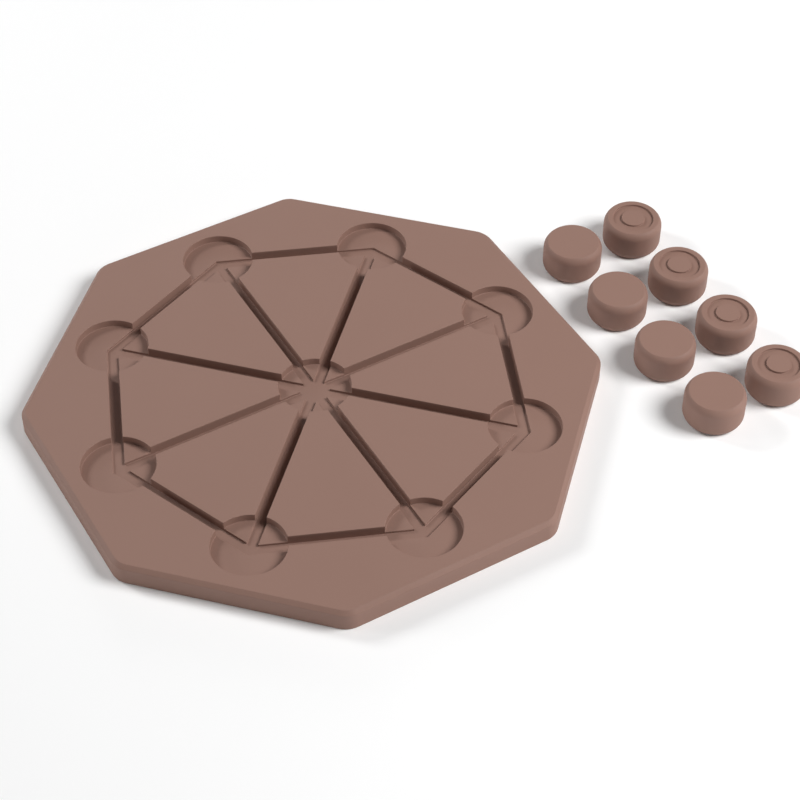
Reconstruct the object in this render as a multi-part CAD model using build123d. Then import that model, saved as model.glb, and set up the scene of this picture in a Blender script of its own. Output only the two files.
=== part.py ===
"""Mu torere set: one carved octagonal board and its eight round counters, in millimetres.

The origin is the centre of the board's underside, +Z is up, and +X points at the eight
counters, which stand on the table beside the board in two columns of four.
"""

import os

from build123d import *

# the board: a regular octagon with rounded corners and a chamfered top edge
across_flats = 200.0
board_thickness = 8.6
corner_radius = 8.8
top_edge_chamfer = 1.5

# the playing points: eight pockets round a ninth in the middle, joined by straight grooves
outer_points = 8
pocket_diameter = 27.2
pocket_depth = 3.0
pocket_to_edge = 6.9
groove_width = 4.1
groove_below_pocket = 1.0

# the counters: short discs that drop easily into the pockets. The wall slopes in to the top at
# the shoulder and to the bottom at the foot
counter_clearance = 2.1
counter_height = 12.8
shoulder_width = 1.5
shoulder_height = 2.3
foot_width = 1.0
foot_height = 1.6

# the ring sunk into the top of one player's four counters, round a boss left level with the top
land_outside_ring = 2.0
ring_width = 3.4
ring_depth = 0.8

# where the counters stand: the clear gaps from the board and between the columns and rows
counters_each = 4
gap_from_board = 12.2
gap_between_columns = 5.6
gap_between_rows = 8.5
columns_middle_y = -32.7

point_step = 360 / outer_points
ring_radius = across_flats / 2 - pocket_to_edge - pocket_diameter / 2
pocket_floor_z = board_thickness - pocket_depth
groove_depth = pocket_depth + groove_below_pocket
counter_radius = pocket_diameter / 2 - counter_clearance
top_face_radius = counter_radius - shoulder_width
ring_outer_radius = top_face_radius - land_outside_ring
boss_radius = ring_outer_radius - ring_width


def outer_point(index):
    """Centre of an outer pocket. Each one lies opposite the middle of a flat."""
    return Vector(ring_radius, 0).rotate(Axis.Z, index * point_step)


def make_slab():
    """The octagonal blank, its upright corners rounded before the top edge is chamfered."""
    corner_to_centre = across_flats / 2 / cos_half_step()
    outline = RegularPolygon(corner_to_centre, outer_points, rotation=point_step / 2)
    outline = fillet(outline.vertices(), corner_radius)
    slab = extrude(outline, board_thickness)
    return chamfer(slab.faces().sort_by(Axis.Z)[-1].edges(), top_edge_chamfer)


def cos_half_step():
    """Ratio of an octagon's inscribed circle to the circle through its corners."""
    flat_middle = Vector(1, 0).rotate(Axis.Z, point_step / 2)
    return flat_middle.X


def spoke_groove(index):
    """Outline of the straight groove from the middle of the board to one outer point."""
    return Rot(0, 0, index * point_step) * Pos(ring_radius / 2, 0) * Rectangle(ring_radius, groove_width)


def groove_network():
    """All sixteen grooves as one outline, so that they meet in sharp mitres.

    The eight rim grooves are an octagonal band whose corners are the outer points, and a
    spoke runs out from the middle to each of its corners.
    """
    half_width = groove_width / 2
    rim_apothem = ring_radius * cos_half_step()
    band_outer = RegularPolygon((rim_apothem + half_width) / cos_half_step(), outer_points)
    band_inner = RegularPolygon((rim_apothem - half_width) / cos_half_step(), outer_points)
    network = band_outer - band_inner
    for index in range(outer_points):
        network += spoke_groove(index)
    return network


def make_board():
    """The slab with nine pockets sunk in it and the deeper grooves carved through them."""
    board = make_slab()
    pocket_centres = [Vector(0, 0)] + [outer_point(index) for index in range(outer_points)]
    for centre in pocket_centres:
        pocket = Pos(centre.X, centre.Y, pocket_floor_z) * Circle(pocket_diameter / 2)
        board -= extrude(pocket, pocket_depth)
    groove_floor = Pos(0, 0, board_thickness - groove_depth)
    board -= groove_floor * extrude(groove_network(), groove_depth)
    return board


def counter_profile():
    """Half section of a counter: an upright wall that slopes in to each of the two flat faces."""
    return make_face(
        Polyline(
            (0, 0),
            (counter_radius - foot_width, 0),
            (counter_radius, foot_height),
            (counter_radius, counter_height - shoulder_height),
            (top_face_radius, counter_height),
            (0, counter_height),
            close=True,
        )
    )


def make_plain_counter():
    return revolve(Plane.XZ * counter_profile(), Axis.Z)


def make_ringed_counter():
    """A plain counter with a flat-bottomed ring sunk into its top."""
    ring = Circle(ring_outer_radius) - Circle(boss_radius)
    ring_floor = Pos(0, 0, counter_height - ring_depth)
    return make_plain_counter() - ring_floor * extrude(ring, ring_depth)


def standing_place(column, row):
    """Where a counter stands: column 0 is next to the board, row 0 is furthest along +Y."""
    counter_diameter = 2 * counter_radius
    inner_column_x = across_flats / 2 + gap_from_board + counter_radius
    x = inner_column_x + column * (counter_diameter + gap_between_columns)
    middle_row = (counters_each - 1) / 2
    y = columns_middle_y + (middle_row - row) * (counter_diameter + gap_between_rows)
    return Pos(x, y, 0)


nodes = {"board": make_board()}
plain_counter = make_plain_counter()
ringed_counter = make_ringed_counter()
for row in range(counters_each):
    nodes[f"plain_counter_{row + 1}"] = standing_place(0, row) * plain_counter
    nodes[f"ringed_counter_{row + 1}"] = standing_place(1, row) * ringed_counter

os.makedirs("parts", exist_ok=True)
for name, shape in nodes.items():
    export_step(shape, f"parts/{name}.step")
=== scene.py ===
import math

import bmesh
import bpy
from mathutils import Matrix, Vector


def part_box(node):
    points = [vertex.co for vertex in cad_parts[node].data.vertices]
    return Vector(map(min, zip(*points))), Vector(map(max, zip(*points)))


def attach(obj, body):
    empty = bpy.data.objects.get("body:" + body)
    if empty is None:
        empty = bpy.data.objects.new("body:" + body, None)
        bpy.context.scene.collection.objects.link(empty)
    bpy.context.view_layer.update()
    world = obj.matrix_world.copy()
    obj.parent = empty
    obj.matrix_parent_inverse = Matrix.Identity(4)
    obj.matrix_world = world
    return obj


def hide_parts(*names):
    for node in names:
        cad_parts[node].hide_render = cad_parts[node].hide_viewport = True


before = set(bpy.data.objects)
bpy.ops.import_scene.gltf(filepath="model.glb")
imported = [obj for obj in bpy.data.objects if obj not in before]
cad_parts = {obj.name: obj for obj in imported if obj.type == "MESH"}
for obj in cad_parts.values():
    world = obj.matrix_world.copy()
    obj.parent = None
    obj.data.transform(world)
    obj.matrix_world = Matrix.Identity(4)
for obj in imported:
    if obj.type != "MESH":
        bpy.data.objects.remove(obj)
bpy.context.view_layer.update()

# The board is one octagonal slab of brown plastic, moulded with a matt skin in a single piece. Nine
# round pockets and a web of straight grooves are sunk in its top, and its top edge is chamfered.
# It lies flat on the table, and every sharp edge is broken just enough to be kind to the hand.
board_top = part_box("board")[1][2]
board_edge_break = 0.00022
board_brown = (0.258, 0.148, 0.115, 1)
board_brown_pale = (0.268, 0.155, 0.121, 1)
# the paler brown for the broken edges: wear, and a painted highlight along them
board_brown_worn_highlit = (0.300, 0.181, 0.144, 1)


def deselect_all():
    bpy.ops.object.select_all(action="DESELECT")


def make_active(piece):
    deselect_all()
    piece.select_set(True)
    bpy.context.view_layer.objects.active = piece


def break_edges(piece, width):
    """Rounds every sharp edge a little, notes the rounded faces for the edge wear and painted edge
    highlight, and keeps the flats flat.
    """
    sharp_enough_to_round = math.radians(30)
    sharp_enough_to_show = math.radians(35)
    rounded_mark = 1
    make_active(piece)
    rounding = piece.modifiers.new("broken edges", "BEVEL")
    rounding.width = width
    rounding.segments = 3
    rounding.limit_method = "ANGLE"
    rounding.angle_limit = sharp_enough_to_round
    rounding.use_clamp_overlap = False
    rounding.material = rounded_mark
    bpy.ops.object.modifier_apply(modifier=rounding.name)
    wear_and_highlight_edge = piece.data.attributes.new("wear_and_highlight_edge", "FLOAT", "FACE")
    # the mark is a material number, so it is cleared again once the faces for the wear and painted
    # highlight have been noted
    for face in piece.data.polygons:
        wear_and_highlight_edge.data[face.index].value = face.material_index
        face.material_index = 0
    bpy.ops.object.shade_smooth_by_angle(angle=sharp_enough_to_show)
    flats = piece.modifiers.new("flat faces stay flat", "WEIGHTED_NORMAL")
    flats.keep_sharp = True
    bpy.ops.object.modifier_apply(modifier=flats.name)


def start_effect(name, inputs, outputs):
    """An empty node group with the named inputs, each with its starting value, and outputs."""
    effect = bpy.data.node_groups.new(name, "ShaderNodeTree")
    for label, value in inputs.items():
        socket = effect.interface.new_socket(name=label, in_out="INPUT", socket_type="NodeSocketFloat")
        socket.default_value = value
    for label in outputs:
        effect.interface.new_socket(name=label, in_out="OUTPUT", socket_type="NodeSocketFloat")
    return effect


def add_node(tree, kind, place, **settings):
    """A node of that kind at that place in the tree, with its settings made."""
    node = tree.nodes.new(kind)
    node.location = place
    for setting, value in settings.items():
        setattr(node, setting, value)
    return node


def matt_grain_effect():
    """The fine spark-eroded grain of a moulded matt skin, with a few soft low spots in it."""
    sizes = {"Grains per metre": 2400.0, "Low spots per metre": 420.0}
    effect = start_effect("matt grain", sizes, ["Height"])
    entry = add_node(effect, "NodeGroupInput", (-700, 0))
    place = add_node(effect, "ShaderNodeTexCoord", (-700, -200))
    grain = add_node(effect, "ShaderNodeTexNoise", (-450, 100))
    grain.inputs["Detail"].default_value = 3
    low_spots = add_node(effect, "ShaderNodeTexNoise", (-450, -200))
    low_spots.inputs["Detail"].default_value = 1
    both = add_node(effect, "ShaderNodeMix", (-200, 0), data_type="FLOAT")
    both.inputs["Factor"].default_value = 0.35
    leave = add_node(effect, "NodeGroupOutput", (50, 0))
    effect.links.new(place.outputs["Object"], grain.inputs["Vector"])
    effect.links.new(place.outputs["Object"], low_spots.inputs["Vector"])
    effect.links.new(entry.outputs["Grains per metre"], grain.inputs["Scale"])
    effect.links.new(entry.outputs["Low spots per metre"], low_spots.inputs["Scale"])
    effect.links.new(grain.outputs["Fac"], both.inputs["A"])
    effect.links.new(low_spots.outputs["Fac"], both.inputs["B"])
    effect.links.new(both.outputs["Result"], leave.inputs["Height"])
    return effect


def pigment_drift_effect():
    """Slow clouds where the pigment or the gloss of the plastic is a touch different, from 0 to 1."""
    effect = start_effect("pigment drift", {"Clouds per metre": 28.0, "Contrast": 1.6}, ["Drift"])
    entry = add_node(effect, "NodeGroupInput", (-700, 0))
    place = add_node(effect, "ShaderNodeTexCoord", (-700, -200))
    clouds = add_node(effect, "ShaderNodeTexNoise", (-450, 0))
    clouds.inputs["Detail"].default_value = 4
    centred = add_node(effect, "ShaderNodeMath", (-250, 0), operation="SUBTRACT")
    centred.inputs[1].default_value = 0.5
    spread = add_node(effect, "ShaderNodeMath", (-100, 0), operation="MULTIPLY")
    drift = add_node(effect, "ShaderNodeMath", (50, 0), operation="ADD", use_clamp=True)
    drift.inputs[1].default_value = 0.5
    leave = add_node(effect, "NodeGroupOutput", (250, 0))
    effect.links.new(place.outputs["Object"], clouds.inputs["Vector"])
    effect.links.new(entry.outputs["Clouds per metre"], clouds.inputs["Scale"])
    effect.links.new(clouds.outputs["Fac"], centred.inputs[0])
    effect.links.new(centred.outputs[0], spread.inputs[0])
    effect.links.new(entry.outputs["Contrast"], spread.inputs[1])
    effect.links.new(spread.outputs[0], drift.inputs[0])
    effect.links.new(drift.outputs[0], leave.inputs["Drift"])
    return effect


def wear_and_highlight_edge_effect():
    """Where the broken edges are painted paler in patches, partly as wear from hands and partly as a
    painted highlight: 1 is fully paler.
    """
    effect = start_effect("rubbed edge", {"Patches per metre": 160.0, "Amount": 0.6}, ["Rubbed"])
    entry = add_node(effect, "NodeGroupInput", (-700, 0))
    place = add_node(effect, "ShaderNodeTexCoord", (-700, -200))
    # the rounded faces read here get the paler colour: wear, and a painted highlight along the edges
    edge = add_node(effect, "ShaderNodeAttribute", (-450, 200), attribute_name="wear_and_highlight_edge")
    patches = add_node(effect, "ShaderNodeTexNoise", (-450, -100))
    patches.inputs["Detail"].default_value = 2
    patchy = add_node(effect, "ShaderNodeMapRange", (-250, -100))
    patchy.inputs["From Min"].default_value = 0.35
    patchy.inputs["From Max"].default_value = 0.65
    on_edges = add_node(effect, "ShaderNodeMath", (-50, 50), operation="MULTIPLY")
    amount = add_node(effect, "ShaderNodeMath", (120, 50), operation="MULTIPLY", use_clamp=True)
    leave = add_node(effect, "NodeGroupOutput", (300, 50))
    effect.links.new(place.outputs["Object"], patches.inputs["Vector"])
    effect.links.new(entry.outputs["Patches per metre"], patches.inputs["Scale"])
    effect.links.new(patches.outputs["Fac"], patchy.inputs["Value"])
    effect.links.new(edge.outputs["Fac"], on_edges.inputs[0])
    effect.links.new(patchy.outputs["Result"], on_edges.inputs[1])
    effect.links.new(on_edges.outputs[0], amount.inputs[0])
    effect.links.new(entry.outputs["Amount"], amount.inputs[1])
    effect.links.new(amount.outputs[0], leave.inputs["Rubbed"])
    return effect


matt_grain = matt_grain_effect()
pigment_drift = pigment_drift_effect()
wear_and_highlight_edges = wear_and_highlight_edge_effect()


def add_effect(tree, effect, place, **values):
    """The effect's group in a material, with that material's own values for its inputs."""
    node = add_node(tree, "ShaderNodeGroup", place, node_tree=effect)
    for label, value in values.items():
        node.inputs[label.replace("_", " ")].default_value = value
    return node


def mix_colours(tree, place, factor, first, second):
    """A colour mix: first and second are each a colour or another node's output."""
    mix = add_node(tree, "ShaderNodeMix", place, data_type="RGBA")
    tree.links.new(factor, mix.inputs["Factor"])
    # sockets of every data type share the names A, B and Result, so the colour ones go by number
    colour_a, colour_b, colour_result = mix.inputs[6], mix.inputs[7], mix.outputs[2]
    for socket, colour in ((colour_a, first), (colour_b, second)):
        if isinstance(colour, tuple):
            socket.default_value = colour
        else:
            tree.links.new(colour, socket)
    return colour_result


def matt_plastic(name, brown, pale, wear_and_highlight_colour, clouds, grains, grain_depth):
    """A moulded matt plastic: drifting pigment, paler edges for wear and a painted highlight, an uneven
    sheen and a fine grain.
    """
    sheen_clouds = clouds * 2.7
    plastic = bpy.data.materials.new(name)
    plastic.use_nodes = True
    tree = plastic.node_tree
    shader = tree.nodes["Principled BSDF"]
    shader.inputs["IOR"].default_value = 1.46
    drift = add_effect(tree, pigment_drift, (-900, 300), Clouds_per_metre=clouds)
    edge = add_effect(tree, wear_and_highlight_edges, (-900, 80))
    body_colour = mix_colours(tree, (-600, 300), drift.outputs["Drift"], brown, pale)
    # the broken edges are painted paler, partly for wear and partly as a painted highlight
    colour = mix_colours(tree, (-350, 300), edge.outputs["Rubbed"], body_colour, wear_and_highlight_colour)
    tree.links.new(colour, shader.inputs["Base Color"])
    sheen_drift = add_effect(tree, pigment_drift, (-900, -120), Clouds_per_metre=sheen_clouds)
    roughness = add_node(tree, "ShaderNodeMapRange", (-600, -120))
    roughness.inputs["To Min"].default_value = 0.60
    roughness.inputs["To Max"].default_value = 0.72
    tree.links.new(sheen_drift.outputs["Drift"], roughness.inputs["Value"])
    tree.links.new(roughness.outputs["Result"], shader.inputs["Roughness"])
    grain = add_effect(tree, matt_grain, (-900, -360), Grains_per_metre=grains)
    bump = add_node(tree, "ShaderNodeBump", (-350, -360))
    bump.inputs["Strength"].default_value = 0.5
    bump.inputs["Distance"].default_value = grain_depth
    tree.links.new(grain.outputs["Height"], bump.inputs["Height"])
    tree.links.new(bump.outputs["Normal"], shader.inputs["Normal"])
    return plastic


def copy_of_node(node, name):
    """The CAD node's shape as a piece of its own, with its loose triangles merged into clean faces."""
    same_point = 0.000002
    same_flat = math.radians(0.5)
    piece = bpy.data.objects.new(name, bpy.data.objects[node].data.copy())
    piece.matrix_world = bpy.data.objects[node].matrix_world
    bpy.context.scene.collection.objects.link(piece)
    make_active(piece)
    bpy.ops.object.transform_apply(location=True, rotation=True, scale=True)
    bpy.ops.object.mode_set(mode="EDIT")
    bpy.ops.mesh.select_all(action="SELECT")
    bpy.ops.mesh.remove_doubles(threshold=same_point)
    bpy.ops.mesh.customdata_custom_splitnormals_clear()
    bpy.ops.mesh.dissolve_limited(angle_limit=same_flat)
    bpy.ops.object.mode_set(mode="OBJECT")
    return piece


moulded_board = copy_of_node("board", "moulded_board")
break_edges(moulded_board, board_edge_break)
moulded_board.data.materials.clear()
moulded_board.data.materials.append(
    matt_plastic(
        "board plastic",
        board_brown,
        board_brown_pale,
        board_brown_worn_highlit,
        clouds=22.0,
        grains=2300.0,
        grain_depth=0.00003,
    )
)
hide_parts("board")
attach(moulded_board, "board")

# A plain counter is a short disc of the same brown plastic, moulded solid. Its wall rolls in to a
# crisp edge round the flat top, and in the same way to the face it stands on.
counter_low, counter_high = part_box("plain_counter_1")
counter_radius = (counter_high[0] - counter_low[0]) / 2
counter_height = counter_high[2] - counter_low[2]
rim_width = 0.0015
rim_height = 0.0032
rim_steps = 8
round_steps = 128
counter_edge_break = 0.00014


def select_flat_face(counter, towards):
    """Selects the flat round face at the top, where towards is 1, or at the bottom, where it is -1."""
    nearly_level = 0.99
    bpy.ops.mesh.select_mode(type="FACE")
    bpy.ops.mesh.select_all(action="DESELECT")
    mesh = bmesh.from_edit_mesh(counter.data)
    facing = [face for face in mesh.faces if face.normal.z * towards > nearly_level]
    max(facing, key=lambda face: face.calc_center_median().z * towards).select = True
    bmesh.update_edit_mesh(counter.data)


def roll_rim_in(counter, centre, towards):
    """Draws the round face out along an arc that leaves the wall smoothly and ends at the flat face."""
    arc_radius = (rim_width ** 2 + rim_height ** 2) / (2 * rim_width)
    whole_turn = math.asin(rim_height / arc_radius)
    radius, height = counter_radius, 0.0
    select_flat_face(counter, towards)
    for step in range(1, rim_steps + 1):
        turn = whole_turn * step / rim_steps
        next_radius = counter_radius - arc_radius * (1 - math.cos(turn))
        next_height = arc_radius * math.sin(turn)
        rise = (next_height - height) * towards
        shrink = next_radius / radius
        bpy.ops.mesh.extrude_region_move(TRANSFORM_OT_translate={"value": (0, 0, rise)})
        bpy.ops.transform.resize(value=(shrink, shrink, 1), center_override=centre)
        radius, height = next_radius, next_height


def rolled_disc(name, node):
    """A solid disc with both rims rolled in, standing where the CAD node stands."""
    low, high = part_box(node)
    centre = ((low[0] + high[0]) / 2, (low[1] + high[1]) / 2, counter_height / 2)
    deselect_all()
    bpy.ops.mesh.primitive_cylinder_add(
        vertices=round_steps,
        radius=counter_radius,
        depth=counter_height - 2 * rim_height,
        end_fill_type="NGON",
        location=centre,
    )
    disc = bpy.context.object
    disc.name = name
    bpy.ops.object.transform_apply(location=True, rotation=True, scale=True)
    bpy.ops.object.mode_set(mode="EDIT")
    roll_rim_in(disc, centre, 1)
    roll_rim_in(disc, centre, -1)
    bpy.ops.object.mode_set(mode="OBJECT")
    return disc


def copy_to_node(model, first_node, name, node):
    """A copy of the finished counter with its own mesh, moved to where another CAD node stands."""
    here, there = Vector(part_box(first_node)[0]), Vector(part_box(node)[0])
    make_active(model)
    bpy.ops.object.duplicate(linked=False)
    copy = bpy.context.object
    copy.name = name
    bpy.ops.transform.translate(value=there - here)
    bpy.ops.object.transform_apply(location=True, rotation=True, scale=True)
    return copy


def set_out(counter, node):
    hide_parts(node)
    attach(counter, node)


plain_brown = (0.260, 0.149, 0.116, 1)
plain_brown_pale = (0.271, 0.157, 0.123, 1)
# the paler brown for the broken edges: wear, and a painted highlight along them
plain_brown_worn_highlit = (0.302, 0.183, 0.146, 1)
plain_disc = rolled_disc("plain_disc_1", "plain_counter_1")
break_edges(plain_disc, counter_edge_break)
plain_disc.data.materials.append(
    matt_plastic(
        "plain counter plastic",
        plain_brown,
        plain_brown_pale,
        plain_brown_worn_highlit,
        clouds=55.0,
        grains=2600.0,
        grain_depth=0.000025,
    )
)
set_out(plain_disc, "plain_counter_1")
for number in (2, 3, 4):
    node = f"plain_counter_{number}"
    copy = copy_to_node(plain_disc, "plain_counter_1", f"plain_disc_{number}", node)
    set_out(copy, node)

# A ringed counter is the same disc with a shallow flat ring sunk in its top, so that the two
# players' sets can be told apart. The boss inside the ring is left level with the top.
land_outside_ring = 0.0020
ring_width = 0.0034
ring_depth = 0.0008


def sink_ring(counter):
    """Insets the top twice, and pushes down only the band between the two."""
    bpy.ops.object.mode_set(mode="EDIT")
    select_flat_face(counter, 1)
    bpy.ops.mesh.inset(thickness=land_outside_ring)
    bpy.ops.mesh.extrude_region_move(TRANSFORM_OT_translate={"value": (0, 0, -ring_depth)})
    bpy.ops.mesh.inset(thickness=ring_width)
    bpy.ops.mesh.extrude_region_move(TRANSFORM_OT_translate={"value": (0, 0, ring_depth)})
    bpy.ops.object.mode_set(mode="OBJECT")


ringed_brown = (0.257, 0.147, 0.114, 1)
ringed_brown_pale = (0.267, 0.154, 0.120, 1)
# the paler brown for the broken edges: wear, and a painted highlight along them
ringed_brown_worn_highlit = (0.298, 0.180, 0.143, 1)
ringed_disc = rolled_disc("ringed_disc_1", "ringed_counter_1")
sink_ring(ringed_disc)
break_edges(ringed_disc, counter_edge_break)
ringed_disc.data.materials.append(
    matt_plastic(
        "ringed counter plastic",
        ringed_brown,
        ringed_brown_pale,
        ringed_brown_worn_highlit,
        clouds=50.0,
        grains=2500.0,
        grain_depth=0.000025,
    )
)
set_out(ringed_disc, "ringed_counter_1")
for number in (2, 3, 4):
    node = f"ringed_counter_{number}"
    copy = copy_to_node(ringed_disc, "ringed_counter_1", f"ringed_disc_{number}", node)
    set_out(copy, node)

# The table top is a plain white sheet that the board and the counters lie on. It isn't part of
# the set, and it lies a hair below it so that the faces don't fight.
table_white = (0.95, 0.95, 0.95, 1)
table_size = 6
table_drop = 0.00005
deselect_all()
bpy.ops.mesh.primitive_plane_add(size=table_size, location=(0, 0, -table_drop))
table_top = bpy.context.object
table_top.name = "table_top"
table_paper = bpy.data.materials.new("table paper")
table_paper.use_nodes = True
table_paper.node_tree.nodes["Principled BSDF"].inputs["Base Color"].default_value = table_white
table_paper.node_tree.nodes["Principled BSDF"].inputs["Roughness"].default_value = 0.9
table_top.data.materials.append(table_paper)


# The studio is five soft round lamps at one distance from the table, in a room that gives only a
# faint white light of its own. The key lamp makes the shadows to the left of the set.
lamp_distance = 1.3
room_light = 0.07


def soft_light(name, azimuth, elevation, size, power):
    """A round lamp aimed at the middle of the board. Azimuth 0 is along +X, 90 along +Y."""
    azimuth, elevation = math.radians(azimuth), math.radians(elevation)
    towards = Vector(
        (
            math.cos(azimuth) * math.cos(elevation),
            math.sin(azimuth) * math.cos(elevation),
            math.sin(elevation),
        )
    )
    data = bpy.data.lights.new(name, "AREA")
    data.shape = "DISK"
    data.size = size
    data.energy = power
    lamp = bpy.data.objects.new(name, data)
    bpy.context.scene.collection.objects.link(lamp)
    lamp.location = towards * lamp_distance
    lamp.rotation_mode = "QUATERNION"
    lamp.rotation_quaternion = towards.to_track_quat("Z", "Y")


soft_light("key_lamp", -38, 43, 0.70, 17.4)
soft_light("high_back_lamp", 120, 35, 0.35, 6.3)
soft_light("low_back_lamp", 150, 13, 0.4, 4.6)
soft_light("low_front_lamp", 248, 7, 0.5, 2.4)
soft_light("side_lamp", 70, 14, 0.4, 3.0)
world = bpy.data.worlds.new("studio")
bpy.context.scene.world = world
world.use_nodes = True
world.node_tree.nodes["Background"].inputs["Color"].default_value = (1, 1, 1, 1)
world.node_tree.nodes["Background"].inputs["Strength"].default_value = room_light
bpy.context.scene.view_settings.view_transform = "Standard"

# The camera stands in front of the board, a little to its left, and looks down on it. Azimuth 0
# would be straight in front, on -Y. Its distances are counted in radii of the ring of outer points.
azimuth, elevation, roll = math.radians(-30.35), math.radians(46.14), math.radians(0.24)
outer_point_ring = 0.0795
image_width = 800
focal_length = 2034.2
rings_right, rings_down, rings_back = 0.3958, 0.0714, 9.4482
back = Vector(
    (
        math.sin(azimuth) * math.cos(elevation),
        -math.cos(azimuth) * math.cos(elevation),
        math.sin(elevation),
    )
)
level_right = Vector((math.cos(azimuth), math.sin(azimuth), 0))
level_up = back.cross(level_right)
right = level_right * math.cos(roll) + level_up * math.sin(roll)
up = level_up * math.cos(roll) - level_right * math.sin(roll)
camera_data = bpy.data.cameras.new("camera")
camera_data.sensor_width = 36
camera_data.lens = focal_length / image_width * camera_data.sensor_width
camera = bpy.data.objects.new("camera", camera_data)
bpy.context.scene.collection.objects.link(camera)
offset = (right * rings_right - up * rings_down + back * rings_back) * outer_point_ring
turn = Matrix((right, up, back)).transposed().to_4x4()
camera.matrix_world = Matrix.Translation(Vector((0, 0, board_top)) + offset) @ turn
bpy.context.scene.camera = camera
